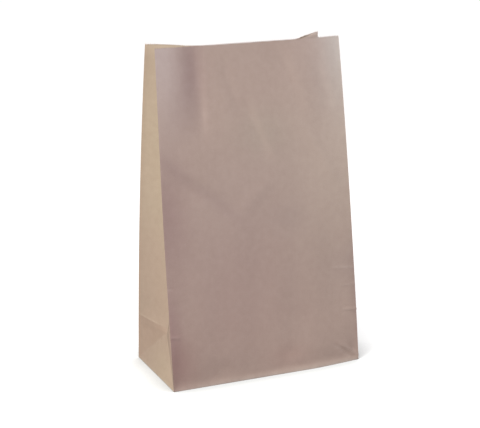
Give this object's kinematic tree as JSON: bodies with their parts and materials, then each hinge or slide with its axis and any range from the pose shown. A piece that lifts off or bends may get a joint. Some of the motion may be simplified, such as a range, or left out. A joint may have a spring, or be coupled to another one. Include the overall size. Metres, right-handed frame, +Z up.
{
  "type": "paper bag",
  "caption": "Block-bottom brown kraft paper bag standing open, with folded side gussets, a storage crease above the base and a toothed cut edge; no handles.",
  "frame": {"origin": "middle of the flat base, on the surface that the bag stands on", "axes": "+Z up through the mouth, +X along the wide panels towards the right, -Y out of the front panel"},
  "size_m": [0.2626, 0.1359, 0.4173],
  "materials": {
    "kraft_paper": "uncoated brown kraft paper, matte, faintly ribbed, with fine creases"
  },
  "bodies": {
    "root": {"paper_bag": "kraft_paper"}
  },
  "joints": []
}
